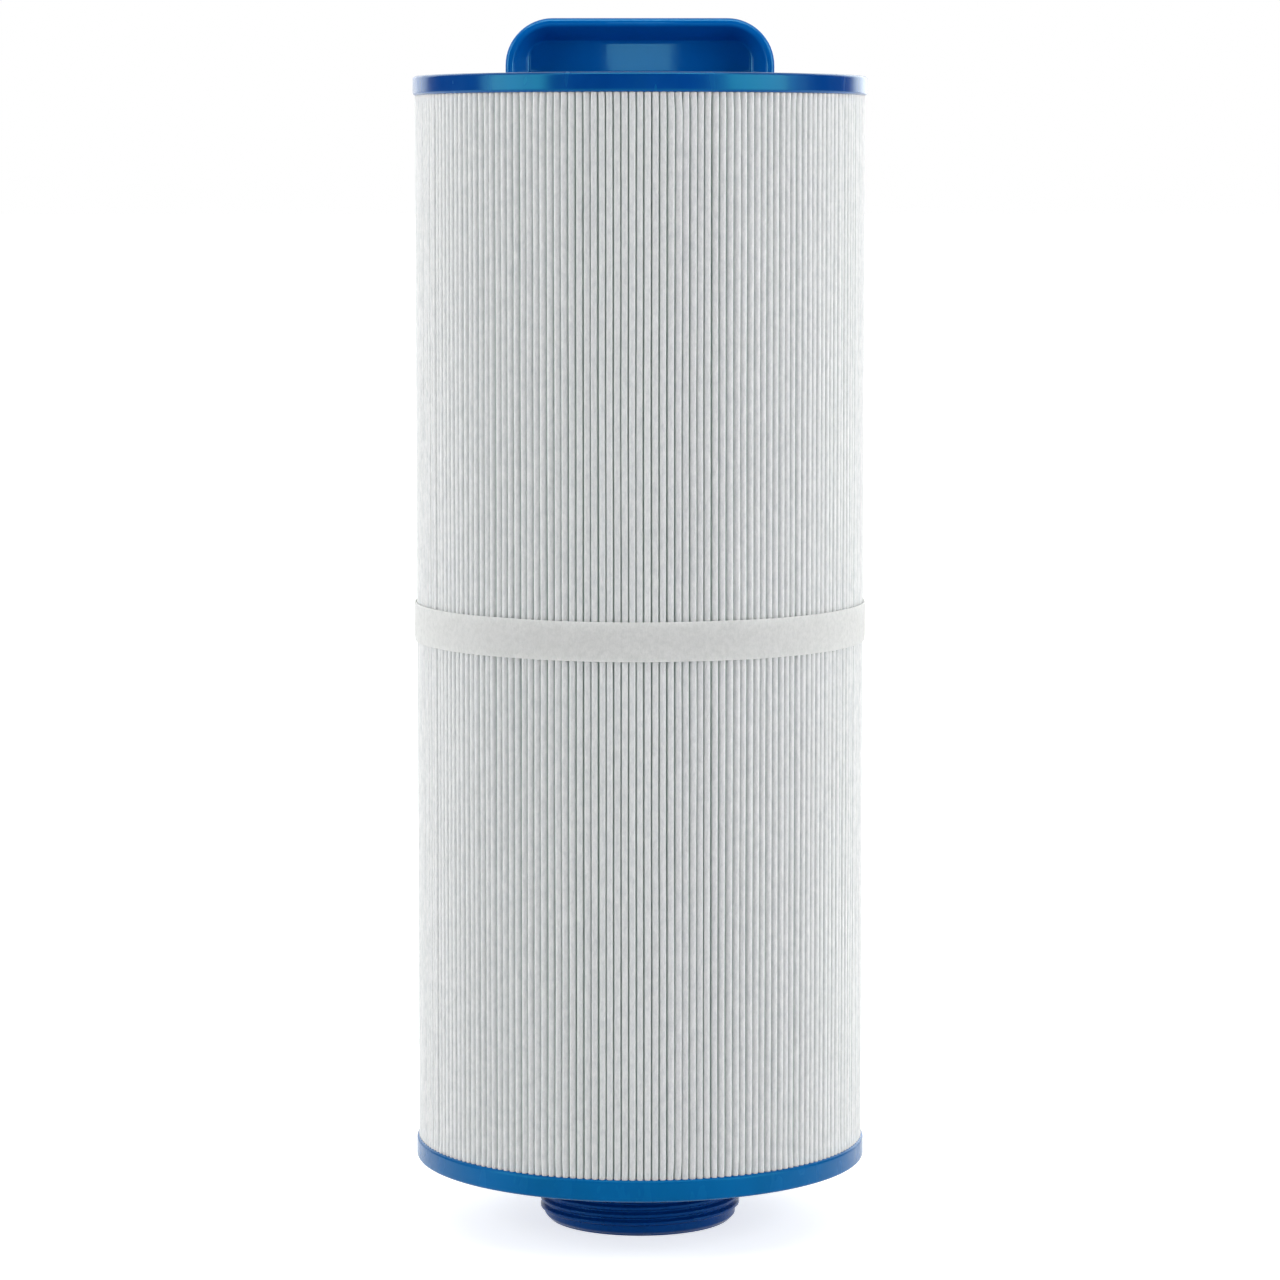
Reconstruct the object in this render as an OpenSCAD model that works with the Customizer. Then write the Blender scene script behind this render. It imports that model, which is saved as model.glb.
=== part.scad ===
// Pleated spa filter cartridge with a grip on its top cap and a coarse male thread below.
// +Z is up, and the origin is at the centre of the neck's lower end.

/* [End caps] */
// Outside diameter of both end caps
cap_d = 125.4; // [110:0.1:160]
// Thickness of the top cap
top_cap_t = 5.3; // [5:0.1:10]
// Thickness of the bottom cap
bottom_cap_t = 6; // [5.5:0.1:12]
// Rounding of the caps' outer edges
cap_edge_r = 0.8; // [0.3:0.1:1.5]

/* [Pleated medium] */
// Length of the medium that shows between the caps
media_len = 290; // [120:1:500]
// Thickness of the filter cloth
sheet_t = 0.4; // [0.3:0.01:0.6]
// How deep each end of the medium is cast into its cap
potting_depth = 2.4; // [1.5:0.1:2.6]
// How far the pleats' tips lie inside the caps' edge
tip_setback = 0.6; // [0.3:0.1:2]
// Air between the two layers of a pleat at its tip
tip_air = 0.3; // [0.1:0.05:0.5]
// Room for each fold round the core, in double sheet thicknesses
fold_room = 1.116; // [1.1:0.001:1.5]

/* [Core] */
// Wall of the core
core_wall = 2.7; // [2.2:0.1:4]
// Radial clearance of every spigot in the core
core_fit = 0.1; // [0.05:0.01:0.3]
// Radial gap between the core and the inner folds
fold_gap = 0.3; // [0.1:0.05:1]
// Windows round the core, two for each slot cut through it
window_count = 12; // [8:2:16]
// Width of a window, measured straight across
window_w = 9; // [4:0.5:10]
// Height of a window
window_h = 9; // [5:0.5:15]
// Height of the rib between two rows of windows
rib_h = 3.5; // [2:0.5:6]
// Length of the spigot that joins the two core sections
joint_len = 8; // [4:0.5:15]

/* [Threaded adapter] */
// Major diameter of the thread
thread_d = 56; // [52:0.1:62]
// Pitch of the thread, twelve turns to the inch
thread_pitch = 2.117; // [1.5:0.001:4]
// Depth of the thread
thread_depth = 1.2; // [0.8:0.1:2]
// Length of the neck below the bottom cap
neck_len = 18; // [14:0.5:30]
// Lead-in chamfer at the neck's end
nose_len = 1.4; // [0.8:0.1:3]
// Plain shoulder between the thread and the cap
shoulder_len = 4; // [2:0.5:8]
// Wall between the bore and the thread's root
neck_wall = 4.3; // [3:0.1:7]
// How far the anchor flange reaches beyond the neck
flange_reach = 6.9; // [4:0.1:12]
// Thickness of the anchor flange
flange_t = 1.5; // [1:0.1:2]
// Length of the spigot inside the core
spigot_len = 12; // [6:0.5:25]
// Wall of the spigot
spigot_wall = 1.4; // [1:0.1:3]

/* [Grip] */
// Width of the grip
grip_w = 73.6; // [55:0.1:90]
// Height of the grip above the cap
grip_h = 15.7; // [14:0.1:30]
// Front-to-back size of the grip
grip_t = 24; // [18:0.5:36]
// Radius of the grip's upper corners
grip_corner_r = 12.9; // [7:0.1:13.5]
// Rim round the finger recesses, at the grip's faces
rim_t = 2.2; // [1.5:0.1:3.5]
// Slope of a recess's walls, from its mouth to its floor
recess_slope = 3.7; // [1:0.1:4]
// Web between the two finger recesses
web_t = 3; // [2:0.1:6]
// Thickness of the foot plate inside the cap
foot_t = 1.2; // [1:0.1:1.4]
// How far the foot plate reaches past the grip
foot_reach = 5; // [3:0.5:8]

/* [Retaining band] */
// Width of the band
band_w = 10.6; // [6:0.1:25]
// Thickness of the band
band_t = 0.6; // [0.3:0.05:1]
// Length of the lap where the band's ends are bonded
lap_len = 22; // [10:1:40]
// Thickness of the adhesive under the band
glue_t = 0.15; // [0.1:0.01:0.3]
// Width of the adhesive line
glue_w = 4; // [2:0.5:6]

/* [Hidden] */
$fn = 96;

cap_blue = [0.03, 0.36, 0.62];
cloth_white = [0.86, 0.88, 0.88];
band_white = [0.84, 0.84, 0.82];
core_white = [0.88, 0.89, 0.90];
glue_amber = [0.90, 0.86, 0.74];

// Levels, from the neck's end upward
z_bottom_cap = neck_len;
z_media_low = z_bottom_cap + bottom_cap_t;
z_media_high = z_media_low + media_len;
z_top = z_media_high + top_cap_t;
z_sheet_low = z_media_low - potting_depth;
z_sheet_high = z_media_high + potting_depth;
flange_cover = 0.8;
z_core_low = z_sheet_low - flange_cover;
z_flange = z_core_low - flange_t;
plug_t = 1.3;
foot_gap = 0.4;
z_foot = z_sheet_high + foot_gap;
z_core_high = z_foot - plug_t;
z_joint = (z_core_low + z_core_high) / 2;
z_band = (z_media_low + z_media_high) / 2;

// Radii
cap_r = cap_d / 2;
thread_r = thread_d / 2;
root_r = thread_r - thread_depth;
bore_r = root_r - neck_wall;
spigot_r = bore_r + spigot_wall;
core_bore_r = spigot_r + core_fit;
core_r = core_bore_r + core_wall;
shoulder_r = thread_r + 0.1;
collar_r = shoulder_r + 0.6;
flange_r = collar_r + flange_reach;
tip_r = cap_r - tip_setback;
fold_r = core_r + fold_gap;
band_r = tip_r + glue_t;

// Pleats: as many as the cloth's thickness lets stand round the core
pleat_count = round(PI * fold_r / (sheet_t * fold_room));
pleat_step = 360 / pleat_count;
pleat_half_w = sheet_t + tip_air / 2;
seam_turn = 90;

function at(angle, r, side = 0) = [r * cos(angle) - side * sin(angle), r * sin(angle) + side * cos(angle)];

// A quarter of a circle round [x, z], from angle a0
function quarter(x, z, r, a0) =
    [for (i = [0 : 4]) let (a = a0 + i * 90 / 4) [x + r * cos(a), z + r * sin(a)]];

function valley_out(k) = at((k - 0.5) * pleat_step, fold_r + sheet_t);
function valley_in(k) = at((k - 0.5) * pleat_step, fold_r);

// The two corners of a pleat's outer face, on the side that s gives
function shoulder(k, s) = at(k * pleat_step, tip_r - 0.8 * pleat_half_w, s * pleat_half_w);
function tip(k, s) = at(k * pleat_step, tip_r, s * 0.35 * pleat_half_w);

// The two corners of a pleat's hollow
function hollow_root(k, s) = at(k * pleat_step, fold_r + sheet_t, s * 0.1 * sheet_t);
function hollow_tip(k, s) = at(k * pleat_step, tip_r - 1.3 * sheet_t, s * tip_air / 2);

// The cloth's section: one strip folded round the core, whose two ends meet in the seam pleat
module pleat_profile() {
    last = pleat_count;
    polygon(concat(
        [at(0, tip_r, tip_air / 2), shoulder(0, 1)],
        [for (k = [1 : last - 1])
            each [valley_out(k), shoulder(k, -1), tip(k, -1), tip(k, 1), shoulder(k, 1)]],
        [valley_out(last), shoulder(last, -1), at(0, tip_r, -tip_air / 2)],
        [hollow_root(last, -1), valley_in(last)],
        [for (k = [last - 1 : -1 : 1])
            each [hollow_root(k, 1), hollow_tip(k, 1), hollow_tip(k, -1), hollow_root(k, -1), valley_in(k)]],
        [hollow_root(0, 1)]
    ));
}

module seam_profile() {
    polygon([at(0, tip_r, -tip_air / 2), at(0, tip_r, tip_air / 2), hollow_root(0, 1), hollow_root(0, -1)]);
}

// Everything below is raised from its own lower level
module raised(z) {
    translate([0, 0, z]) children();
}

module ring(r_out, r_in, z, h) {
    difference() {
        raised(z) cylinder(r = r_out, h = h);
        raised(z - 1) cylinder(r = r_in, h = h + 2);
    }
}

// The room that the cloth and its seam take up between two levels
module sheet_room(z, h) {
    rotate(seam_turn) raised(z) linear_extrude(height = h) {
        pleat_profile();
        seam_profile();
    }
}

module pleated_media() {
    color(cloth_white) rotate(seam_turn) raised(z_sheet_low)
        linear_extrude(height = z_sheet_high - z_sheet_low) pleat_profile();
}

module seam_adhesive() {
    color(glue_amber) rotate(seam_turn) raised(z_sheet_low)
        linear_extrude(height = z_sheet_high - z_sheet_low) seam_profile();
}

// A helical ridge that fades into the neck at both ends
module thread_ridge() {
    steps_per_turn = 48;
    fade_steps = 10;
    bury = 0.3;
    base_half = 0.44 * thread_pitch;
    crest_half = 0.13 * thread_pitch;
    run = neck_len - shoulder_len - nose_len - 2 * base_half;
    steps = floor(run / thread_pitch * steps_per_turn);
    points = [for (i = [0 : steps])
        let (a = i * 360 / steps_per_turn,
             z = nose_len + base_half + i * thread_pitch / steps_per_turn,
             fade = min(1, i / fade_steps, (steps - i) / fade_steps),
             r = root_r - bury / 2 + (thread_depth + bury / 2) * fade)
        for (p = [[root_r - bury, -base_half], [r, -crest_half], [r, crest_half], [root_r - bury, base_half]])
            [p[0] * cos(a), p[0] * sin(a), z + p[1]]];
    sides = [for (i = [0 : steps - 1]) for (j = [0 : 3])
        let (a = 4 * i + j, b = 4 * i + (j + 1) % 4) each [[a, b, b + 4], [a, b + 4, a + 4]]];
    polyhedron(points, concat([[3, 2, 1, 0]], sides, [[for (j = [0 : 3]) 4 * steps + j]]));
}

module anchor_flange() {
    key_count = 12;
    key_r = 1.8;
    difference() {
        raised(z_flange) cylinder(r = flange_r, h = flange_t);
        for (i = [0 : key_count - 1])
            rotate((i + 0.5) * 360 / key_count) translate([(collar_r + flange_r) / 2, 0, z_flange - 1])
                cylinder(r = key_r, h = flange_t + 2, $fn = 32);
    }
}

module threaded_adapter() {
    z_shoulder = z_bottom_cap - shoulder_len;
    into_flange = flange_t / 2;
    color(cap_blue) difference() {
        union() {
            cylinder(r1 = root_r - 0.8 * nose_len, r2 = root_r, h = nose_len);
            raised(nose_len) cylinder(r = root_r, h = z_shoulder - nose_len + 1);
            thread_ridge();
            raised(z_shoulder) cylinder(r = shoulder_r, h = shoulder_len + into_flange);
            raised(z_bottom_cap) cylinder(r = collar_r, h = z_flange + into_flange - z_bottom_cap);
            anchor_flange();
            raised(z_flange) cylinder(r = spigot_r, h = flange_t + spigot_len);
        }
        raised(-1) cylinder(r = bore_r, h = z_core_low + spigot_len + 2);
    }
}

module cap_disc(z, t) {
    r = cap_edge_r;
    raised(z) rotate_extrude() polygon(concat(
        [[0, 0]], quarter(cap_r - r, r, r, -90), quarter(cap_r - r, t - r, r, 0), [[0, t]]));
}

module bottom_end_cap() {
    above = bottom_cap_t + 1;
    color(cap_blue) difference() {
        cap_disc(z_bottom_cap, bottom_cap_t);
        raised(z_bottom_cap - 1) cylinder(r = collar_r, h = z_flange + flange_t / 2 - z_bottom_cap + 1);
        anchor_flange();
        raised(z_core_low - flange_t / 2) cylinder(r = core_r, h = above);
        sheet_room(z_sheet_low, above);
    }
}

// Slots cut right through the core, in as many whole rows as fit between two levels
module window_rows(z_from, z_to) {
    row_step = window_h + rib_h;
    rows = floor((z_to - z_from + rib_h) / row_step);
    z_first = (z_from + z_to) / 2 - (rows - 1) * row_step / 2;
    for (row = [0 : rows - 1]) for (i = [0 : window_count / 2 - 1])
        rotate(i * 360 / window_count) raised(z_first + row * row_step)
            cube([2 * core_r + 2, window_w, window_h], center = true);
}

lap_r = core_bore_r + core_wall / 2;
plain_end = 3;
plug_spigot = 6;

module core_section_lower() {
    color(core_white) difference() {
        union() {
            raised(z_core_low) cylinder(r = core_r, h = z_joint - z_core_low);
            raised(z_core_low) cylinder(r = lap_r - core_fit, h = z_joint + joint_len - z_core_low);
        }
        raised(z_core_low - 1) cylinder(r = core_bore_r, h = z_core_high);
        window_rows(z_core_low + spigot_len + plain_end, z_joint - plain_end);
    }
}

module core_section_upper() {
    color(core_white) difference() {
        raised(z_joint) cylinder(r = core_r, h = z_core_high - z_joint);
        raised(z_joint - 1) cylinder(r = core_bore_r, h = z_core_high);
        raised(z_joint - 1) cylinder(r = lap_r, h = joint_len + 1 + core_fit);
        window_rows(z_joint + joint_len + plain_end, z_core_high - plug_spigot - plain_end);
    }
}

module core_plug() {
    color(core_white) difference() {
        union() {
            raised(z_core_high) cylinder(r = core_r, h = plug_t);
            raised(z_core_high - plug_spigot) cylinder(r = spigot_r, h = plug_spigot + plug_t / 2);
        }
        raised(z_core_high - plug_spigot - 1) cylinder(r = spigot_r - spigot_wall, h = plug_spigot + 1);
    }
}

module foot_plate() {
    key_r = 1.6;
    w = grip_w + 2 * foot_reach;
    t = grip_t + 2 * foot_reach;
    pitch = w / 8;
    difference() {
        raised(z_foot + foot_t / 2) cube([w, t, foot_t], center = true);
        for (side = [-1, 1]) for (i = [-3 : 3])
            translate([i * pitch, side * (grip_t + foot_reach) / 2, z_foot - 1])
                cylinder(r = min(key_r, foot_reach / 3), h = foot_t + 2, $fn = 32);
    }
}

// The grip's block from its foot up to level h above the cap, w wide
module grip_block(w, h) {
    translate([-w / 2, -grip_t / 2, z_foot]) cube([w, grip_t, z_top - z_foot + h]);
}

module along_y(x, z, r, y, t) {
    translate([x, y + t, z]) rotate([90, 0, 0]) cylinder(r = r, h = t);
}

// The room above a level
module above(z) {
    room = 4 * cap_r;
    raised(z + room / 2) cube(room, center = true);
}

// One recess for the fingers, in the grip's front face: a mouth that tapers to a smaller floor
module finger_recess() {
    sill = 1;
    skin = 0.1;
    floor_corner_r = 5;
    floor_inset = rim_t + recess_slope;
    corner_x = grip_w / 2 - grip_corner_r;
    corner_z = z_top + grip_h - grip_corner_r;
    floor_x = grip_w / 2 - floor_inset - floor_corner_r;
    floor_z = z_top + grip_h - floor_inset - floor_corner_r;
    intersection() {
        above(z_top + sill);
        hull() for (s = [-1, 1]) {
            along_y(s * corner_x, corner_z, grip_corner_r - rim_t, -grip_t / 2 - 1, 1, $fn = 48);
            along_y(s * floor_x, floor_z, floor_corner_r, -web_t / 2 - skin, skin, $fn = 48);
            along_y(s * floor_x, z_top, floor_corner_r, -web_t / 2 - skin, skin, $fn = 48);
        }
    }
}

module handle() {
    color(cap_blue) difference() {
        union() {
            foot_plate();
            grip_block(grip_w, grip_h - grip_corner_r);
            grip_block(grip_w - 2 * grip_corner_r, grip_h);
            intersection() {
                above(z_top);
                for (s = [-1, 1])
                    along_y(s * (grip_w / 2 - grip_corner_r), z_top + grip_h - grip_corner_r,
                            grip_corner_r, -grip_t / 2, grip_t);
            }
        }
        finger_recess();
        rotate(180) finger_recess();
    }
}

module top_end_cap() {
    color(cap_blue) difference() {
        cap_disc(z_media_high, top_cap_t);
        raised(z_media_high - 1) cylinder(r = core_r, h = z_foot - z_media_high + 1 + foot_t / 2);
        sheet_room(z_media_high - 1, potting_depth + 1);
        foot_plate();
        grip_block(grip_w, 1);
    }
}

module band_adhesive() {
    color(glue_amber) ring(band_r, tip_r, z_band - glue_w / 2, glue_w);
}

// A closed strip whose outer end laps over it at the back, pressed thinner by the bond
module retaining_band() {
    lap_t = 0.6 * band_t;
    outer_r = band_r + band_t;
    color(band_white) difference() {
        raised(z_band - band_w / 2) union() {
            cylinder(r = outer_r, h = band_w);
            intersection() {
                cylinder(r = outer_r + lap_t, h = band_w);
                translate([-lap_len / 2, 0, -1]) cube([lap_len, outer_r + 1, band_w + 2]);
            }
        }
        raised(z_band - band_w / 2 - 1) cylinder(r = band_r, h = band_w + 2);
    }
}

threaded_adapter();
bottom_end_cap();
core_section_lower();
core_section_upper();
core_plug();
pleated_media();
seam_adhesive();
band_adhesive();
retaining_band();
handle();
top_end_cap();
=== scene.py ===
"""Looks for a pleated spa filter cartridge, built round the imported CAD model."""

import math

import bmesh
import bpy
import numpy as np
from mathutils import Euler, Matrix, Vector


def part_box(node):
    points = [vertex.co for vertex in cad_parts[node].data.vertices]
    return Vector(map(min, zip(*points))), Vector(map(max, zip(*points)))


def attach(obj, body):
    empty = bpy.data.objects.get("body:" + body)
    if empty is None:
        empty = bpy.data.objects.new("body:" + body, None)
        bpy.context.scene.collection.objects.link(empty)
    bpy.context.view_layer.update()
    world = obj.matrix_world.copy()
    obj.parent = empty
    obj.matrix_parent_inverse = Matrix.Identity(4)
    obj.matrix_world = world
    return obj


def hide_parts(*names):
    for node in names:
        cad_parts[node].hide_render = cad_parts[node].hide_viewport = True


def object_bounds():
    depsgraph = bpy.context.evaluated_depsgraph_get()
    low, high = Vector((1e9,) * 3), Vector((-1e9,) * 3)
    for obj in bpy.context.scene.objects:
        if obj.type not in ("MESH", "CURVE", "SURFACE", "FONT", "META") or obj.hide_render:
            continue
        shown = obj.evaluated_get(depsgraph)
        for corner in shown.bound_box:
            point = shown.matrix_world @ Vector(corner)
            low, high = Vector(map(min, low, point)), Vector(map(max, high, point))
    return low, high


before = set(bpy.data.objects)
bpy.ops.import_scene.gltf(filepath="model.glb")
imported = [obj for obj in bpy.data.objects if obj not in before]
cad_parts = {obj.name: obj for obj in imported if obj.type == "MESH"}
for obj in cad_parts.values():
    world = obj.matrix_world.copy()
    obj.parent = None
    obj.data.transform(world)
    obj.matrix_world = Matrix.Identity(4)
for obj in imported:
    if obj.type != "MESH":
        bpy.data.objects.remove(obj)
cad_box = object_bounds()

MM = 0.001
rng = np.random.RandomState(7)

# Places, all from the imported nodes' boxes
media_lo, media_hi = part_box("pleated_media")
band_lo, band_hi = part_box("retaining_band")
seam_lo, seam_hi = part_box("seam_adhesive")
low_cap_lo, low_cap_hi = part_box("bottom_end_cap")
top_cap_lo, top_cap_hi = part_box("top_end_cap")
grip_lo, grip_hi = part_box("handle")
neck_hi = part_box("threaded_adapter")[1]

CAP_R = top_cap_hi.x
TIP_R = seam_hi.y
FOLD_R = seam_lo.y
SHOWN_LOW = low_cap_hi.z
SHOWN_HIGH = top_cap_lo.z
CAP_TOP = top_cap_hi.z
SEAM_ANGLE = math.pi / 2


# ---------------------------------------------------------------- mesh helpers

def new_object(name, verts, faces, sharp_deg):
    """A smooth-shaded mesh object, with edges that turn by more than sharp_deg left sharp."""
    mesh = bpy.data.meshes.new(name)
    mesh.from_pydata([tuple(v) for v in verts], [], [tuple(f) for f in faces])
    mesh.validate()
    bm = bmesh.new()
    bm.from_mesh(mesh)
    bmesh.ops.remove_doubles(bm, verts=bm.verts, dist=1e-7)
    bmesh.ops.recalc_face_normals(bm, faces=bm.faces)
    bm.to_mesh(mesh)
    bm.free()
    mesh.shade_smooth()
    mesh.set_sharp_from_angle(angle=math.radians(sharp_deg))
    obj = bpy.data.objects.new(name, mesh)
    bpy.context.scene.collection.objects.link(obj)
    return obj


def grid_faces(rows, cols, close_rows=False, close_cols=False):
    """Quads over rows x cols points that are numbered row by row."""
    row, col = np.meshgrid(np.arange(rows if close_rows else rows - 1),
                           np.arange(cols if close_cols else cols - 1), indexing="ij")
    next_row, next_col = (row + 1) % rows, (col + 1) % cols
    corners = [row * cols + col, row * cols + next_col, next_row * cols + next_col, next_row * cols + col]
    return np.stack(corners, -1).reshape(-1, 4).tolist()


def arc(cx, cz, r, a0, a1, n):
    """Gives n + 1 points of an arc round (cx, cz), from a0 to a1 in degrees."""
    return [(cx + r * math.cos(math.radians(a0 + (a1 - a0) * i / n)),
             cz + r * math.sin(math.radians(a0 + (a1 - a0) * i / n))) for i in range(n + 1)]


def lathe(profile, segments):
    """Points and faces of a closed (r, z) profile turned round +Z."""
    turn = np.arange(segments) * 2 * math.pi / segments
    ring = np.array(profile)
    x = np.cos(turn)[:, None] * ring[:, 0]
    y = np.sin(turn)[:, None] * ring[:, 0]
    z = np.broadcast_to(ring[:, 1], x.shape)
    points = np.stack([x, y, z], -1).reshape(-1, 3)
    return points, grid_faces(segments, len(profile), close_rows=True, close_cols=True)


def join_meshes(parts):
    """One list of points and one of faces from several."""
    points, faces, base = [], [], 0
    for p, f in parts:
        points.append(np.asarray(p, float))
        faces += [[i + base for i in face] for face in f]
        base += len(p)
    return np.concatenate(points), faces


# ------------------------------------------------------------------- materials

RIPPLE = 0.02
SCATTER_RADIUS = (1.0, 1.0, 0.95)
# Painted light: the warm pale line where the pleats' lit ends meet each cap
PAINTED_LIGHT_AT_CAPS = (0.95, 0.92, 0.88)
PAINTED_LIGHT_AT_CAPS_H = 1.1 * MM
# How far below the pleats' tips the painted shade between them starts and is full
GAP_SHADE_FROM, GAP_SHADE_TO = 0.65 * MM, 1.3 * MM


class Nodes:
    """A material's node tree, with short ways to add noise, ramps, mixes and bumps."""

    def __init__(self, name):
        self.material = bpy.data.materials.new(name)
        self.material.use_nodes = True
        self.tree = self.material.node_tree
        self.tree.nodes.clear()
        self.out = self.add("ShaderNodeOutputMaterial")
        self.shader = self.add("ShaderNodeBsdfPrincipled")
        self.link(self.shader, "BSDF", self.out, "Surface")
        self.coords = self.add("ShaderNodeTexCoord")

    def add(self, kind, **settings):
        node = self.tree.nodes.new(kind)
        for key, value in settings.items():
            setattr(node, key, value)
        return node

    def link(self, a, a_socket, b, b_socket):
        self.tree.links.new(a.outputs[a_socket], b.inputs[b_socket])

    def scaled(self, scale):
        """Object coordinates, multiplied by scale."""
        mapping = self.add("ShaderNodeMapping")
        mapping.inputs["Scale"].default_value = scale
        self.link(self.coords, "Object", mapping, "Vector")
        return mapping

    def noise(self, scale, detail=3.0, rough=0.5, stretch=(1, 1, 1)):
        mapping = self.scaled(stretch)
        node = self.add("ShaderNodeTexNoise")
        node.inputs["Scale"].default_value = scale
        node.inputs["Detail"].default_value = detail
        node.inputs["Roughness"].default_value = rough
        self.link(mapping, "Vector", node, "Vector")
        return node

    def ramp(self, source, socket, stops):
        node = self.add("ShaderNodeValToRGB")
        elements = node.color_ramp.elements
        while len(elements) < len(stops):
            elements.new(0.5)
        for element, (place, colour) in zip(elements, stops):
            element.position = place
            element.color = (*colour, 1) if len(colour) == 3 else colour
        self.link(source, socket, node, "Fac")
        return node

    def mix(self, kind, factor, a, b):
        """Mixes two colours; each of factor, a and b is a value or a (node, socket)."""
        node = self.add("ShaderNodeMix", data_type="RGBA", blend_type=kind)
        for index, value in ((0, factor), (6, a), (7, b)):
            if isinstance(value, tuple) and hasattr(value[0], "outputs"):
                self.tree.links.new(value[0].outputs[value[1]], node.inputs[index])
            else:
                node.inputs[index].default_value = value if index == 0 else (*value, 1)
        return node

    def bump(self, source, socket, strength, distance, below=None):
        node = self.add("ShaderNodeBump")
        node.inputs["Strength"].default_value = strength
        node.inputs["Distance"].default_value = distance
        self.link(source, socket, node, "Height")
        if below is not None:
            self.link(below, "Normal", node, "Normal")
        return node

    def set(self, **values):
        for key, value in values.items():
            self.shader.inputs[key.replace("_", " ")].default_value = value


def grey(v):
    return (v, v, v)


def plastic(name, colour, rough, mottle=0.12, gloss=0.5, sheen=(1, 1, 1)):
    """Moulded plastic or cast urethane: faint mottling, soft ripples and scuffs."""
    n = Nodes(name)
    cloud = n.noise(35, 4, 0.6)
    dark = tuple(c * (1 - mottle) for c in colour)
    light = tuple(min(1, c * (1 + mottle)) for c in colour)
    base = n.ramp(cloud, "Fac", [(0.3, dark), (0.7, light)])
    scuff = n.noise(190, 2, 0.5, (1, 1, 0.4))
    worn = n.ramp(scuff, "Fac", [(0.4, grey(0)), (0.75, grey(0.07))])
    worn_colour = tuple(min(1, c * 1.6 + 0.01) for c in colour)
    mixed = n.mix("MIX", (worn, "Color"), (base, "Color"), worn_colour)
    n.link(mixed, "Result", n.shader, "Base Color")
    spread = n.ramp(scuff, "Fac", [(0.35, grey(rough * 0.85)), (0.75, grey(min(1, rough * 1.35)))])
    n.link(spread, "Color", n.shader, "Roughness")
    ripple = n.bump(cloud, "Fac", RIPPLE, 0.6 * MM)
    n.link(ripple, "Normal", n.shader, "Normal")
    n.set(IOR=1.5, Specular_IOR_Level=gloss, Specular_Tint=(*sheen, 1))
    return n.material


def spunbond(name, pale, shade, stretch, painted_light_levels=(), painted_gap_shade=None):
    """Spunbonded polyester: random fibres pressed flat, with small dense and thin spots.

    painted_gap_shade is painted shade: it darkens the cloth between the pleats. Each of
    painted_light_levels is a height and the side of it, 1 or -1, where painted light makes the cloth paler
    beside the cap.
    """
    n = Nodes(name)
    spots = n.noise(700, 4, 0.62, stretch)
    fibre = n.noise(2600, 3, 0.7, (1, 1, 0.35))
    cloud = n.noise(28, 3, 0.5)
    base = n.ramp(spots, "Fac", [(0.32, shade), (0.62, pale)])
    tone = n.ramp(cloud, "Fac", [(0.3, grey(0.955)), (0.7, grey(1.0))])
    mixed = n.mix("MULTIPLY", 1.0, (base, "Color"), (tone, "Color"))
    threads = n.ramp(fibre, "Fac", [(0.35, grey(0.93)), (0.65, grey(1.0))])
    mixed = n.mix("MULTIPLY", 1.0, (mixed, "Result"), (threads, "Color"))
    # Painted shade: the cloth is darkened and tinted green deeper between the pleats, where light hardly
    # reaches
    if painted_gap_shade:
        across = n.add("ShaderNodeVectorMath", operation="LENGTH")
        n.link(n.scaled((1, 1, 0)), "Vector", across, 0)
        depth = n.add("ShaderNodeMapRange")
        depth.inputs["From Min"].default_value = TIP_R - GAP_SHADE_FROM
        depth.inputs["From Max"].default_value = TIP_R - GAP_SHADE_TO
        n.link(across, "Value", depth, "Value")
        mixed = n.mix("MULTIPLY", (depth, "Result"), (mixed, "Result"), painted_gap_shade)
    # Painted light: the cloth turns warm and pale beside each cap, standing for the pleats' lit ends
    for level, sense in painted_light_levels:
        place = n.add("ShaderNodeSeparateXYZ")
        n.link(n.coords, "Object", place, "Vector")
        near = n.add("ShaderNodeMapRange")
        near.inputs["From Min"].default_value = level
        near.inputs["From Max"].default_value = level + sense * PAINTED_LIGHT_AT_CAPS_H
        near.inputs["To Min"].default_value = 0.85
        near.inputs["To Max"].default_value = 0.0
        n.link(place, "Z", near, "Value")
        mixed = n.mix("MIX", (near, "Result"), (mixed, "Result"), PAINTED_LIGHT_AT_CAPS)
    n.link(mixed, "Result", n.shader, "Base Color")
    rough = n.ramp(spots, "Fac", [(0.3, grey(0.72)), (0.7, grey(0.95))])
    n.link(rough, "Color", n.shader, "Roughness")
    coarse = n.bump(spots, "Fac", 0.35, 0.12 * MM)
    fine = n.bump(fibre, "Fac", 0.3, 0.04 * MM, coarse)
    n.link(fine, "Normal", n.shader, "Normal")
    n.set(IOR=1.45, Specular_IOR_Level=0.3, Subsurface_Weight=0.9, Subsurface_Scale=3.0 * MM)
    n.shader.inputs["Subsurface Radius"].default_value = SCATTER_RADIUS
    return n.material


def hot_melt(name):
    """Dried adhesive: amber, with bubbles and an uneven gloss."""
    n = Nodes(name)
    cloud = n.noise(120, 4, 0.6)
    base = n.ramp(cloud, "Fac", [(0.3, (0.74, 0.62, 0.40)), (0.7, (0.85, 0.78, 0.62))])
    n.link(base, "Color", n.shader, "Base Color")
    rough = n.ramp(cloud, "Fac", [(0.3, grey(0.25)), (0.7, grey(0.5))])
    n.link(rough, "Color", n.shader, "Roughness")
    bubbles = n.noise(1500, 2, 0.4)
    bump = n.bump(bubbles, "Fac", 0.3, 0.1 * MM)
    n.link(bump, "Normal", n.shader, "Normal")
    return n.material


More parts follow.
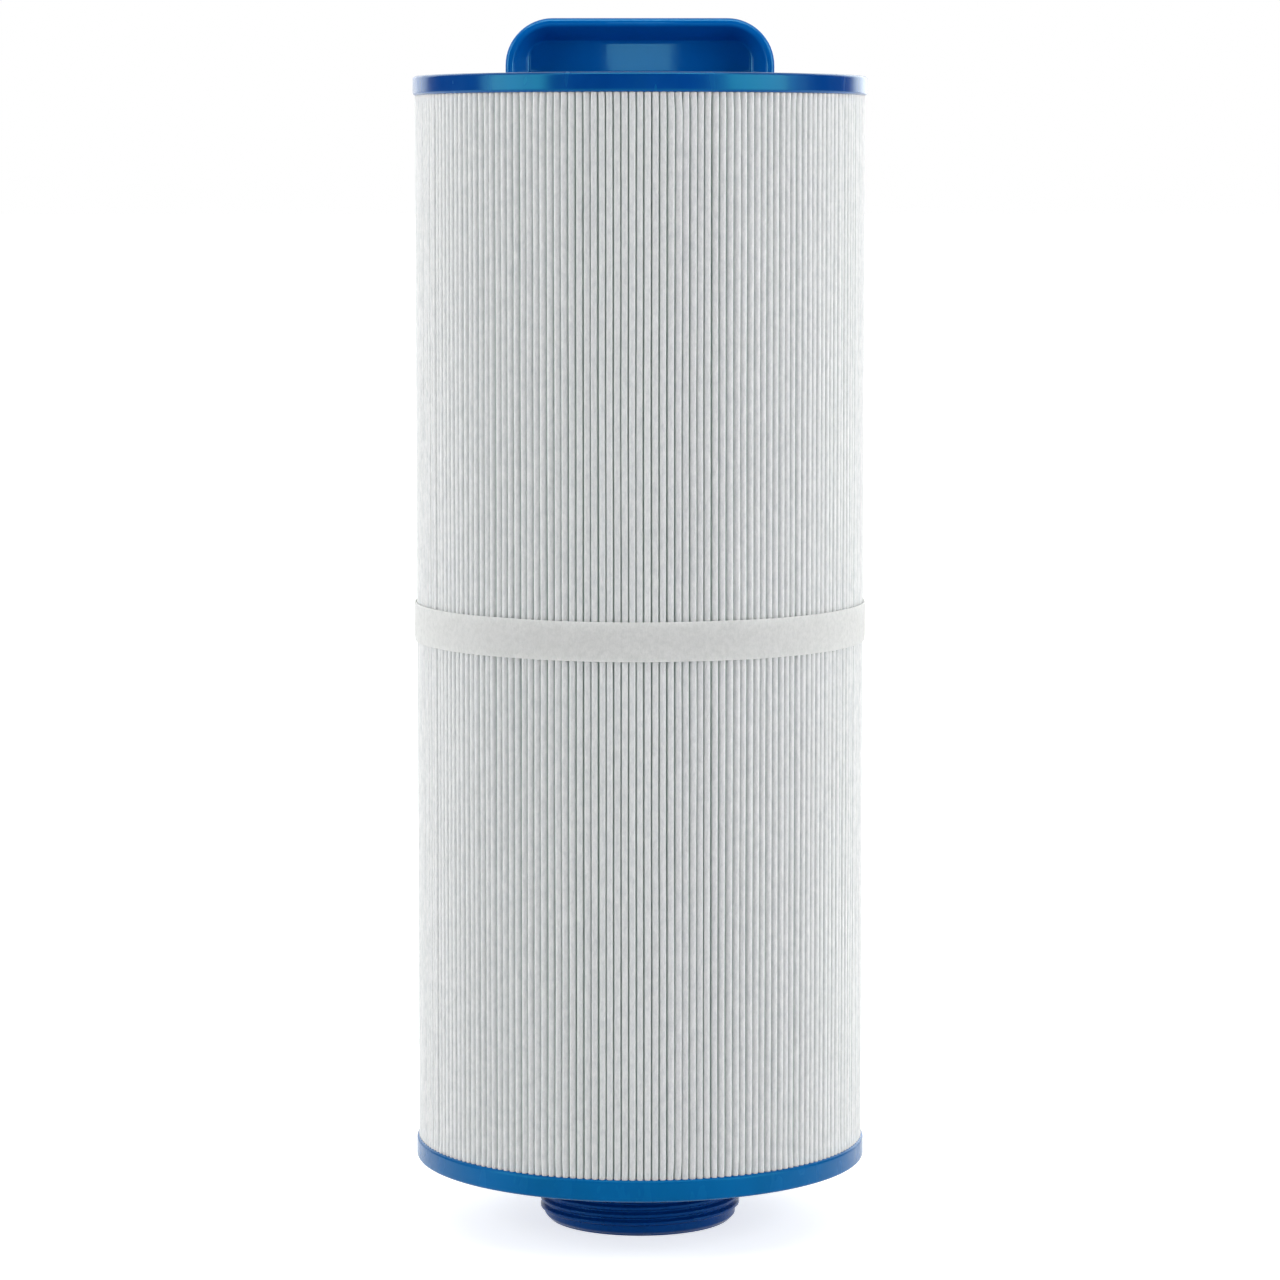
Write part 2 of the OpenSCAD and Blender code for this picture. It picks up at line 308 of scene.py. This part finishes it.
TOP_CAP_BLUE = (0.0006, 0.043, 0.228)
# The bottom cap is the same urethane as the top one, painted lighter for the light the floor bounces up
# onto it
LOW_CAP_PAINTED_LIT_BLUE = (0.001, 0.09, 0.285)
GRIP_BLUE = (0.0006, 0.12, 0.44)
NECK_BLUE = (0.0006, 0.045, 0.23)
CORE_WHITE = (0.80, 0.81, 0.82)
CYAN_SHEEN = (0.25, 0.85, 0.95)
CAP_SHEEN = (0.08, 0.95, 0.95)
CLOTH_PALE, CLOTH_SHADE = (0.95, 0.965, 0.96), (0.79, 0.825, 0.83)
# Painted shade between the pleats, greenish like light bounced deep in the gaps
PAINTED_SHADE_BETWEEN_PLEATS = (0.60, 0.80, 0.68)
BAND_PALE, BAND_SHADE = (0.84, 0.845, 0.81), (0.75, 0.76, 0.725)

top_cap_plastic = plastic("cast_blue_top", TOP_CAP_BLUE, 0.22, gloss=0.5, sheen=CAP_SHEEN)
# Painted light: this lighter blue stands for floor-bounced light on the bottom cap
low_cap_painted_lit_plastic = plastic("cast_blue_bottom_painted_lit", LOW_CAP_PAINTED_LIT_BLUE, 0.24, gloss=0.2, sheen=CAP_SHEEN)
grip_plastic = plastic("moulded_blue_grip", GRIP_BLUE, 0.03, mottle=0.05, sheen=CYAN_SHEEN)
neck_plastic = plastic("moulded_blue_neck", NECK_BLUE, 0.30, mottle=0.06, gloss=0.2, sheen=CYAN_SHEEN)
core_plastic = plastic("moulded_white_core", CORE_WHITE, 0.45, mottle=0.03)
# The cloth carries painted light beside each cap and painted shade between the pleats
cloth_material = spunbond("spunbonded_cloth", CLOTH_PALE, CLOTH_SHADE, (1, 1, 0.4),
                          [(SHOWN_LOW, 1), (SHOWN_HIGH, -1)], PAINTED_SHADE_BETWEEN_PLEATS)
band_material = spunbond("band_cloth", BAND_PALE, BAND_SHADE, (1, 1, 1))
glue_material = hot_melt("amber_hot_melt")

for node, material in (
    ("top_end_cap", top_cap_plastic), ("bottom_end_cap", low_cap_painted_lit_plastic), ("handle", grip_plastic),
    ("threaded_adapter", neck_plastic), ("core_section_lower", core_plastic),
    ("core_section_upper", core_plastic), ("core_plug", core_plastic),
    ("seam_adhesive", glue_material), ("band_adhesive", glue_material),
    ("pleated_media", cloth_material), ("retaining_band", band_material),
):
    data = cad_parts[node].data
    data.materials.clear()
    data.materials.append(material)


# ------------------------------------------------------------------ the cloth

PLEATS = 190
SHEET_T = 0.4 * MM
SEAM_GLUE_T = 0.3 * MM
# A pleat's flat rounded tip: the air between its layers, and its height
TIP_AIR = 0.68 * MM
TIP_BULGE = 0.2 * MM
TIP_ANGLES = (-90, -52, 0, 52, 90)
# Below the tips, where neighbouring pleats come closest, and half the air left there
BELLY_DEPTH = 1.35 * MM
LAYER_GAP = 0.012 * MM
# Beside the core: how far out from the fold, and how far from the pleat's centre line
ROOT_RISE = 0.35 * MM
ROOT_HALF = 0.245 * MM
# Points along the height; the caps hold the cloth still, and it is free this far from them
CLOTH_ROWS = 26
EVEN_FROM_CAPS = 12 * MM
FREE_FROM_CAPS = 4 * MM
# Sideways lean: one pleat alone, together with its neighbours, and the same all the way up
LEAN_ALONE, LEAN_SHARED = 0.17 * MM, 0.22 * MM
LEAN_FIXED, LEAN_FIXED_MOST = 0.10 * MM, 0.2 * MM
# How far tips sit back from the full radius
SINK, SINK_MOST = 0.05 * MM, 0.35 * MM
WAVE_TERMS = 5
LONGEST_WAVE = 0.26


def smooth_waves(count, levels):
    """Seeded smooth curves over the levels, count of them, mostly less than 1 high."""
    curves = np.zeros((count, len(levels)))
    for term in range(WAVE_TERMS):
        wave = LONGEST_WAVE / (1 + term * 0.9)
        phase = rng.uniform(0, 2 * math.pi, (count, 1))
        size = rng.normal(0, 1, (count, 1)) / (1 + term)
        curves += size * np.sin(2 * math.pi * levels[None, :] / wave + phase)
    return curves / 2.5


def neighbours(values, reach):
    """Averages each pleat with its neighbours, round the circle."""
    kernel = np.hanning(2 * reach + 3)[1:-1]
    kernel /= kernel.sum()
    return sum(k * np.roll(values, i - reach, axis=0) for i, k in enumerate(kernel))


def make_cloth():
    """The whole strip, folded into its pleats round the core: one thin closed solid."""
    near_caps = np.array([0, 2, 5]) * MM
    even = np.linspace(SHOWN_LOW + EVEN_FROM_CAPS, SHOWN_HIGH - EVEN_FROM_CAPS,
                       CLOTH_ROWS - 2 * len(near_caps) - 2)
    levels = np.concatenate([[media_lo.z], SHOWN_LOW + near_caps, even,
                             SHOWN_HIGH - near_caps[::-1], [media_hi.z]])
    free = np.clip(np.minimum(levels - SHOWN_LOW, SHOWN_HIGH - levels) / FREE_FROM_CAPS, 0, 1)
    free = free * free * (3 - 2 * free)
    step = 2 * math.pi / PLEATS
    lean = LEAN_ALONE * neighbours(smooth_waves(PLEATS, levels), 1)
    lean = lean + LEAN_SHARED * neighbours(smooth_waves(PLEATS, levels), 4)
    fixed = LEAN_FIXED * rng.normal(0, 1, (PLEATS, 1))
    side = (lean + np.clip(fixed, -LEAN_FIXED_MOST, LEAN_FIXED_MOST)) * free[None, :]
    sink = np.abs(SINK * rng.normal(0, 1, (PLEATS, 1)) + SINK * smooth_waves(PLEATS, levels))
    sink = np.clip(sink, 0, SINK_MOST) * free[None, :]

    half = SHEET_T / 2
    arc_r = TIP_R - half - TIP_BULGE
    rise = [math.radians(a) for a in TIP_ANGLES]
    root_r, root_s = FOLD_R + ROOT_RISE, ROOT_HALF
    tip_s = half + TIP_AIR / 2

    # Where a pleat's layers belly out until they almost meet the next pleat's
    belly_r = TIP_R - BELLY_DEPTH
    belly = belly_r * math.sin(step / 2) - half - LAYER_GAP

    # The middle of the cloth as (radius, sideways, share of the lean, pleat). Sideways is a
    # distance from the pleat's centre line, "+" or "-" for a belly, or None for a fold at the core.
    # The strip's two ends lie on the seam's adhesive, in the pleat at the back.
    seam_s = half + SEAM_GLUE_T / 2
    line = [(TIP_R, seam_s, 1.0, 0), (belly_r, "+", 0.0, 0), (root_r, root_s, 0.0, 0)]
    for k in range(1, PLEATS):
        line.append((FOLD_R - half, None, 0.0, k - 0.5))
        line.append((root_r, -root_s, 0.0, k))
        line.append((belly_r, "-", 0.0, k))
        line += [(arc_r + TIP_BULGE * math.cos(a), tip_s * math.sin(a), 1.0, k) for a in rise]
        line.append((belly_r, "+", 0.0, k))
        line.append((root_r, root_s, 0.0, k))
    line.append((FOLD_R - half, None, 0.0, PLEATS - 0.5))
    line += [(root_r, -root_s, 0.0, PLEATS), (belly_r, "-", 0.0, PLEATS), (TIP_R, -seam_s, 1.0, PLEATS)]

    rings = []
    for row in range(CLOTH_ROWS):
        xy = np.empty((len(line), 2))
        for i, (r, s, share, k) in enumerate(line):
            a = SEAM_ANGLE + k * step
            pleat = int(k) % PLEATS
            if s is None:
                xy[i] = r * math.cos(a), r * math.sin(a)
                continue
            if s in ("+", "-"):
                s = belly if s == "+" else -belly
            down = sink[pleat, row] * share * (pleat != 0)
            across = s + side[pleat, row] * share * (pleat != 0)
            xy[i] = ((r - down) * math.cos(a) - across * math.sin(a),
                     (r - down) * math.sin(a) + across * math.cos(a))
        ahead = np.diff(xy, axis=0)
        ahead /= np.linalg.norm(ahead, axis=1)[:, None]
        normal = np.stack([-ahead[:, 1], ahead[:, 0]], -1)
        joint = np.concatenate([normal[:1], normal[:-1] + normal[1:], normal[-1:]])
        joint /= np.linalg.norm(joint, axis=1)[:, None]
        cosine = np.concatenate([[1], np.sum(joint[1:-1] * normal[1:], axis=1), [1]])
        offset = joint * (half / np.clip(cosine, 0.75, 1))[:, None]
        loop = np.concatenate([xy - offset, (xy + offset)[::-1]])
        rings.append(np.column_stack([loop, np.full(len(loop), levels[row])]))

    n, m = len(line), 2 * len(line)
    faces = grid_faces(CLOTH_ROWS, m, close_cols=True)
    for base in (0, (CLOTH_ROWS - 1) * m):
        faces += [[base + i, base + i + 1, base + m - 2 - i, base + m - 1 - i] for i in range(n - 1)]
    cloth = new_object("pleated_cloth", np.concatenate(rings), faces, 60)
    cloth.data.materials.append(cloth_material)
    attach(cloth, "root")
    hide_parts("pleated_media")


make_cloth()


# ------------------------------------------------------------------- the caps

CAP_EDGE = 0.9 * MM
CAP_DISH = 0.08 * MM
CAP_SEGMENTS = 256
COLLAR_R = 28.7 * MM
HIDDEN_HOLE_R = 1 * MM


def make_cap(name, node, material, low, high, hole, outer_up):
    """A cast cap: a disc with rounded edges and an outer face that shrinkage has slightly dished."""
    e = CAP_EDGE
    dish_up, dish_down = (CAP_DISH, 0) if outer_up else (0, CAP_DISH)
    inside = [(hole + (CAP_R - e - hole) * f, f) for f in (0, 0.15, 0.35, 0.55, 0.75, 0.9, 0.98)]
    rings_up = [(r, high - dish_up * (1 - f * f)) for r, f in inside]
    rings_down = [(r, low + dish_down * (1 - f * f)) for r, f in inside]
    profile = rings_up + arc(CAP_R - e, high - e, e, 90, 0, 8)
    profile += [(CAP_R, low + e + (high - low - 2 * e) * f) for f in (0.75, 0.5, 0.25)]
    profile += arc(CAP_R - e, low + e, e, 0, -90, 8) + rings_down[::-1]
    points, faces = lathe(profile, CAP_SEGMENTS)
    cap = new_object(name, points, faces, 35)
    cap.data.materials.append(material)
    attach(cap, "root")
    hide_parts(node)


# The top cap's small hole is under the grip
make_cap("cast_cap_top", "top_end_cap", top_cap_plastic, SHOWN_HIGH, CAP_TOP, HIDDEN_HOLE_R, True)
make_cap("cast_cap_bottom", "bottom_end_cap", low_cap_painted_lit_plastic, low_cap_lo.z, SHOWN_LOW, COLLAR_R, False)

# ------------------------------------------------------------------- the grip

# The foot plate, cast inside the cap
FOOT_T = 1.2 * MM
FOOT_REACH = 5.0 * MM
FOOT_CORNER = 1.5 * MM
# The arch that shows above the cap
GRIP_HALF_W = grip_hi.x - FOOT_REACH
GRIP_HALF_T = grip_hi.y - FOOT_REACH
GRIP_CORNER = 12.9 * MM
OUTER_EDGE = 1.2 * MM
# The recess in each face: rim and sill, sloping wall, and the floor on the web between the two
RIM = 2.2 * MM
SILL = 1.0 * MM
MOUTH_EDGE = 0.7 * MM
WALL_RUN = 3.7 * MM
FLOOR_CORNER = 5.0 * MM
FLOOR_FILLET = 0.6 * MM
FLAT_FROM_EDGE = 0.9 * MM
WEB_HALF = 1.5 * MM


def arch(inset, corner, low, y):
    """A closed loop at y: the grip's outline moved in by inset, down to level low."""
    half, top = GRIP_HALF_W - inset, grip_hi.z - inset
    side = np.linspace(low, top - corner, 7)[:-1]
    across = np.linspace(-half + corner, half - corner, 17)[1:-1]
    base = np.linspace(half, -half, 17)[1:-1]
    loop = [(-half, z) for z in side]
    loop += arc(-half + corner, top - corner, corner, 180, 90, 16)
    loop += [(x, top) for x in across]
    loop += arc(half - corner, top - corner, corner, 90, 0, 16)
    loop += [(half, z) for z in side[::-1]]
    loop += [(x, low) for x in base]
    return [(x, y, z) for x, z in loop]


def bent(a, b, c, steps):
    """Points of a curve from a to c that leaves and arrives along its two sides at b."""
    a, b, c = np.array(a), np.array(b), np.array(c)
    ts = np.linspace(0, 1, steps + 1)
    return [tuple((1 - t) ** 2 * a + 2 * t * (1 - t) * b + t * t * c) for t in ts]


def grip_half():
    """Loops from the web's face to the grip's middle, as (inset, corner, low, distance from y = 0)."""
    def wall(f):
        return (RIM + WALL_RUN * f, GRIP_CORNER - RIM + (FLOOR_CORNER - GRIP_CORNER + RIM) * f,
                CAP_TOP + SILL, GRIP_HALF_T + (WEB_HALF - GRIP_HALF_T) * f)

    def web(inward):
        return (RIM + WALL_RUN + inward, FLOOR_CORNER - inward, CAP_TOP + SILL + inward, WEB_HALF)

    rows = [web(FLAT_FROM_EDGE)] + bent(web(FLOOR_FILLET), web(0), wall(0.94), 6)
    rows += [wall(f) for f in (0.7, 0.5, 0.3, 0.15)]
    rim_in = RIM - MOUTH_EDGE
    rows += bent(wall(0.07), (RIM, GRIP_CORNER - RIM, CAP_TOP + SILL, GRIP_HALF_T),
                 (rim_in, GRIP_CORNER - rim_in, CAP_TOP + SILL - MOUTH_EDGE, GRIP_HALF_T), 5)
    for i in range(7):
        a = math.radians(90 - 15 * i)
        inset = OUTER_EDGE * (1 - math.cos(a))
        rows.append((inset, GRIP_CORNER - inset, grip_lo.z, GRIP_HALF_T - OUTER_EDGE * (1 - math.sin(a))))
    rows += [(0, GRIP_CORNER, grip_lo.z, GRIP_HALF_T * f) for f in (0.6, 0.3)]
    return rows


def make_grip():
    """The moulded grip: a hollowed arch with rounded rims and a web across its middle, on its foot."""
    half = grip_half()
    loops = [arch(i, c, low, -y) for i, c, low, y in half]
    loops.append(arch(0, GRIP_CORNER, grip_lo.z, 0))
    loops += [arch(i, c, low, y) for i, c, low, y in half[::-1]]
    n = len(loops[0])
    last = (len(loops) - 1) * n
    faces = grid_faces(len(loops), n, close_cols=True) + [list(range(n)), list(range(last, last + n))]
    outline = []
    for sx, sy, a0 in ((1, 1, 0), (-1, 1, 90), (-1, -1, 180), (1, -1, 270)):
        centre = sx * (grip_hi.x - FOOT_CORNER), sy * (grip_hi.y - FOOT_CORNER)
        outline += arc(*centre, FOOT_CORNER, a0, a0 + 90, 6)
    m = len(outline)
    foot = [(x, y, z) for z in (grip_lo.z, grip_lo.z + FOOT_T) for x, y in outline]
    foot_faces = grid_faces(2, m, close_cols=True) + [list(range(m)), list(range(m, 2 * m))]
    points, faces = join_meshes([(sum(loops, []), faces), (foot, foot_faces)])
    grip = new_object("moulded_grip", points, faces, 35)
    grip.data.materials.append(grip_plastic)
    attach(grip, "root")
    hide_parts("handle")


make_grip()

# ----------------------------------------------------------- the threaded neck

THREAD_R = 28.0 * MM
THREAD_DEPTH = 1.2 * MM
ROOT_R = THREAD_R - THREAD_DEPTH
PITCH = 2.117 * MM
BASE_HALF, CREST_HALF = 0.44 * PITCH, 0.15 * PITCH
BORE_R = 22.5 * MM
SPIGOT_R = 23.9 * MM
SHOULDER_R = 28.1 * MM
NOSE = 1.4 * MM
SHOULDER_LEN = 4.0 * MM
FLANGE_T = 1.5 * MM
FLANGE_LOW = 1.3 * MM
NECK_EDGE = 0.3 * MM
NECK_COLUMNS = 288
WALL_ROWS = 112


def ridge(r, angle, z):
    """Adds the thread's ridge to radius r of the neck's wall at an angle and a height."""
    first = NOSE + BASE_HALF
    turns = (low_cap_lo.z - SHOULDER_LEN - NOSE - 2 * BASE_HALF) / PITCH
    climb = (z - first) / PITCH - angle / (2 * math.pi)
    turn = np.clip(np.round(climb), 0, math.floor(turns))
    away = np.abs(climb - turn) * PITCH
    along = turn + angle / (2 * math.pi)
    fade = np.clip(np.minimum(along, turns - along) * 5, 0, 1)
    flank = np.clip((BASE_HALF - away) / (BASE_HALF - CREST_HALF), 0, 1)
    rounded = flank * flank * (3 - 2 * flank) * 0.35 + flank * 0.65
    return r + THREAD_DEPTH * fade * rounded


def make_neck():
    """The moulded neck: bored through, threaded outside, with a shoulder, a flange and a spigot."""
    c = NECK_EDGE
    z_cap = low_cap_lo.z
    z_flange = z_cap + FLANGE_LOW
    z_shoulder = z_cap - SHOULDER_LEN
    rows = np.linspace(z_shoulder - c, NOSE, WALL_ROWS)
    profile = [(BORE_R, c), (BORE_R, 8 * MM), (BORE_R, 16 * MM), (BORE_R, 24 * MM), (BORE_R, neck_hi.z - c),
               (BORE_R + c, neck_hi.z), (SPIGOT_R - c, neck_hi.z), (SPIGOT_R, neck_hi.z - c),
               (SPIGOT_R, z_flange + FLANGE_T + c), (SPIGOT_R + c, z_flange + FLANGE_T),
               (neck_hi.x - c, z_flange + FLANGE_T), (neck_hi.x, z_flange + FLANGE_T - c),
               (neck_hi.x, z_flange + c), (neck_hi.x - c, z_flange), (COLLAR_R, z_flange),
               (COLLAR_R, z_cap), (SHOULDER_R, z_cap), (SHOULDER_R, z_cap - 1 * MM)]
    profile += arc(SHOULDER_R - c, z_shoulder + c, c, 0, -90, 4)
    profile += [(ROOT_R + c, z_shoulder)]
    wall_from = len(profile)
    profile += [(ROOT_R, z) for z in rows]
    wall_to = len(profile)
    profile += [(ROOT_R - 0.25 * NOSE, 0.7 * NOSE), (ROOT_R - 0.6 * NOSE, 0.25 * NOSE + 0.1 * MM)]
    profile += arc(ROOT_R - 0.8 * NOSE - c, c, c, 20, -90, 5)
    profile += [(BORE_R + c, 0)]
    points, faces = lathe(profile, NECK_COLUMNS)
    grid = points.reshape(NECK_COLUMNS, len(profile), 3)
    angle = (np.arange(NECK_COLUMNS) * 2 * math.pi / NECK_COLUMNS)[:, None]
    wall = grid[:, wall_from:wall_to]
    r = ridge(ROOT_R, angle, wall[:, :, 2])
    wall[:, :, 0], wall[:, :, 1] = r * np.cos(angle), r * np.sin(angle)
    neck = new_object("threaded_neck", points, faces, 45)
    neck.data.materials.append(neck_plastic)
    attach(neck, "root")
    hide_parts("threaded_adapter")


make_neck()

# ------------------------------------------------------------------- the band

BAND_T = 0.5 * MM
BAND_INSET = 0.1 * MM
BAND_COLUMNS = 560
# The lap, the run over which the upper end climbs onto the lower one, and the air between them
LAP = 22 * MM
LIFT_RUN = 5 * MM
LAP_GAP = 0.03 * MM
# Unevenness outwards, along the height and of the width
OUT_WAVE, UP_WAVE, WIDTH_WAVE = 0.05 * MM, 0.16 * MM, 0.06 * MM


def make_band():
    """The band of cloth round the pleats' tips: one strip whose ends lap at the back."""
    inner = band_hi.x - BAND_INSET - BAND_T
    turn = 2 * math.pi + LAP / inner
    angles = SEAM_ANGLE - LAP / inner / 2 + np.linspace(0, turn, BAND_COLUMNS)
    done = (angles - angles[0]) / (2 * math.pi)
    lift_run = LIFT_RUN / (2 * math.pi * inner)
    lift = np.clip((done - 1 + lift_run) / lift_run, 0, 1)
    waves = smooth_waves(3, done * 0.8)
    near_ends = np.clip(np.minimum(done, done[-1] - done) * 20, 0, 1)
    over = (BAND_T + LAP_GAP) * lift * lift * (3 - 2 * lift)
    radial = inner + over + OUT_WAVE * waves[0] * near_ends
    rise = UP_WAVE * waves[1] * near_ends
    narrow = WIDTH_WAVE * waves[2]
    half_w, half_t = (band_hi.z - band_lo.z) / 2, BAND_T / 2
    mid_z = (band_hi.z + band_lo.z) / 2
    across = [(half_t * (1 - 0.45 * abs(side) ** 14), side) for side in np.linspace(-1, 1, 9)]
    around = [(-h, s) for h, s in across[::-1]] + across
    points = []
    for a, r, z, n in zip(angles, radial, rise, narrow):
        for h, s in around:
            points.append(((r + half_t + h) * math.cos(a), (r + half_t + h) * math.sin(a),
                           mid_z + z + s * (half_w - abs(n))))
    m = len(around)
    last = (BAND_COLUMNS - 1) * m
    faces = grid_faces(BAND_COLUMNS, m, close_cols=True)
    faces += [list(range(m)), list(range(last, last + m))]
    band = new_object("cloth_band", points, faces, 50)
    band.data.materials.append(band_material)
    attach(band, "root")
    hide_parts("retaining_band")


make_band()

# ------------------------------------------------------------ floor and light

FLOOR_REACH = 30
FLOOR_GLOW = 0.66
AMBIENT, AMBIENT_LEVEL = (0.96, 0.99, 0.98, 1), 0.5
WHITE = (1, 1, 1, 1)


def seen_or_mirrored(tree):
    """A socket that is 1 for camera, glossy and transmission rays, and 0 for the others."""
    path = tree.nodes.new("ShaderNodeLightPath")
    seen = path.outputs["Is Camera Ray"]
    for kind in ("Is Glossy Ray", "Is Transmission Ray"):
        either = tree.nodes.new("ShaderNodeMath")
        either.operation = "MAXIMUM"
        tree.links.new(seen, either.inputs[0])
        tree.links.new(path.outputs[kind], either.inputs[1])
        seen = either.outputs[0]
    return seen


def floor_material():
    """Pale and matt, lit up to white where it is seen or mirrored, and clear from below."""
    n = Nodes("pale_floor")
    grain = n.noise(40, 3, 0.5)
    tone = n.ramp(grain, "Fac", [(0.3, grey(0.80)), (0.7, grey(0.83))])
    n.link(tone, "Color", n.shader, "Base Color")
    n.set(Roughness=0.9, Specular_IOR_Level=0.1)
    glow = n.add("ShaderNodeEmission")
    glow.inputs["Color"].default_value = WHITE
    glow.inputs["Strength"].default_value = FLOOR_GLOW
    add = n.add("ShaderNodeAddShader")
    n.link(n.shader, "BSDF", add, 0)
    n.link(glow, "Emission", add, 1)
    pick = n.add("ShaderNodeMixShader")
    n.tree.links.new(seen_or_mirrored(n.tree), pick.inputs[0])
    n.link(n.shader, "BSDF", pick, 1)
    n.link(add, "Shader", pick, 2)
    side = n.add("ShaderNodeNewGeometry")
    clear = n.add("ShaderNodeBsdfTransparent")
    upper = n.add("ShaderNodeMixShader")
    n.link(side, "Backfacing", upper, 0)
    n.link(pick, "Shader", upper, 1)
    n.link(clear, "BSDF", upper, 2)
    n.link(upper, "Shader", n.out, "Surface")
    return n.material


floor_mesh = bpy.data.meshes.new("floor")
corners = [(x * FLOOR_REACH, y * FLOOR_REACH, 0) for x, y in ((-1, -1), (1, -1), (1, 1), (-1, 1))]
floor_mesh.from_pydata(corners, [], [(0, 1, 2, 3)])
floor_mesh.materials.append(floor_material())
floor = bpy.data.objects.new("floor", floor_mesh)
bpy.context.scene.collection.objects.link(floor)

world = bpy.data.worlds.new("studio")
bpy.context.scene.world = world
world.use_nodes = True
tree = world.node_tree
tree.nodes.clear()
choose = tree.nodes.new("ShaderNodeMixShader")
tree.links.new(seen_or_mirrored(tree), choose.inputs[0])
for socket, colour, strength in ((1, AMBIENT, AMBIENT_LEVEL), (2, WHITE, 1.0)):
    background = tree.nodes.new("ShaderNodeBackground")
    background.inputs["Color"].default_value = colour
    background.inputs["Strength"].default_value = strength
    tree.links.new(background.outputs[0], choose.inputs[socket])
world_out = tree.nodes.new("ShaderNodeOutputWorld")
tree.links.new(choose.outputs[0], world_out.inputs[0])


def softbox(name, azimuth, elevation, distance, size, watts, aim):
    """An area lamp turned to aim: azimuth from the front (-Y), positive to the right; metres."""
    lamp = bpy.data.lights.new(name, "AREA")
    lamp.shape = "RECTANGLE"
    lamp.size, lamp.size_y = size
    lamp.energy = watts
    obj = bpy.data.objects.new(name, lamp)
    bpy.context.scene.collection.objects.link(obj)
    a, e = math.radians(azimuth), math.radians(elevation)
    way = Vector((math.sin(a) * math.cos(e), -math.cos(a) * math.cos(e), math.sin(e)))
    obj.location = aim + way * distance
    obj.rotation_mode = "QUATERNION"
    obj.rotation_quaternion = way.to_track_quat("Z", "Y")
    return obj


middle = (cad_box[0] + cad_box[1]) / 2
softbox("left_softbox", -64, 8, 1.3, (0.8, 1.3), 12, middle)
softbox("right_softbox", 60, 8, 1.3, (0.8, 1.3), 12.5, middle)
softbox("top_softbox", 10, 75, 1.4, (0.9, 0.9), 3, middle)
softbox("back_left_softbox", -150, 20, 1.5, (0.9, 1.2), 6, middle)
softbox("back_right_softbox", 150, 20, 1.5, (0.9, 1.2), 6, middle)
softbox("grip_strip", 0, 3.3, 1.16, (0.035, 0.10), 0.031, Vector((0, 0, grip_hi.z - 0.01)))
# The fill isn't mirrored in the plastic, and the rim lamp is only mirrored
fill = softbox("front_fill", 4, 10, 1.6, (1.0, 1.0), 1.8, middle)
fill.visible_glossy = False
rim_light = softbox("rim_softbox", 0, 63, 1.3, (1.6, 0.5), 12, middle)
rim_light.visible_diffuse = False


FLAG_DISTANCE = 2.2
FLAG_LOW = 0.02
FLAG_STEPS = 12


def dark_flag(name, azimuth_from, azimuth_to, high, shades=False):
    """A curved dark screen outside the lamps that is mirrored and, if it shades, blocks soft light."""
    verts = []
    for i in range(FLAG_STEPS + 1):
        a = math.radians(azimuth_from + (azimuth_to - azimuth_from) * i / FLAG_STEPS)
        x, y = FLAG_DISTANCE * math.sin(a), -FLAG_DISTANCE * math.cos(a)
        verts += [(x, y, FLAG_LOW), (x, y, high)]
    mesh = bpy.data.meshes.new(name)
    mesh.from_pydata(verts, [], [(2 * i, 2 * i + 2, 2 * i + 3, 2 * i + 1) for i in range(FLAG_STEPS)])
    n = Nodes(name)
    cloud = n.noise(3, 2, 0.5)
    tone = n.ramp(cloud, "Fac", [(0.3, grey(0.015)), (0.7, grey(0.025))])
    n.link(tone, "Color", n.shader, "Base Color")
    n.set(Roughness=1.0, Specular_IOR_Level=0.0)
    mesh.materials.append(n.material)
    obj = bpy.data.objects.new(name, mesh)
    bpy.context.scene.collection.objects.link(obj)
    obj.visible_camera = False
    obj.visible_diffuse = shades


dark_flag("front_flag", -45, 33, 2.2, shades=True)
dark_flag("right_flag", 92, 138, 1.6)
dark_flag("left_flag", -165, -86, 1.6)

# --------------------------------------------------------------------- camera

# Fitted to the ellipses of both caps' edges
FRAME_PX = 1280
FOCAL_PX = 4429.6
SHIFT_UP = -0.06
CAMERA_AT = (0, -1.2294, 0.2929)
LOOKS_DOWN_DEG = 5.038

camera_data = bpy.data.cameras.new("camera")
camera_data.sensor_width = 36
camera_data.lens = FOCAL_PX / FRAME_PX * camera_data.sensor_width
camera_data.shift_y = SHIFT_UP
camera = bpy.data.objects.new("camera", camera_data)
bpy.context.scene.collection.objects.link(camera)
camera.location = CAMERA_AT
camera.rotation_euler = Euler((math.radians(90 - LOOKS_DOWN_DEG), 0, 0))
camera_data.clip_start, camera_data.clip_end = 0.01, 100
bpy.context.scene.camera = camera

bpy.context.scene.view_settings.view_transform = "Standard"
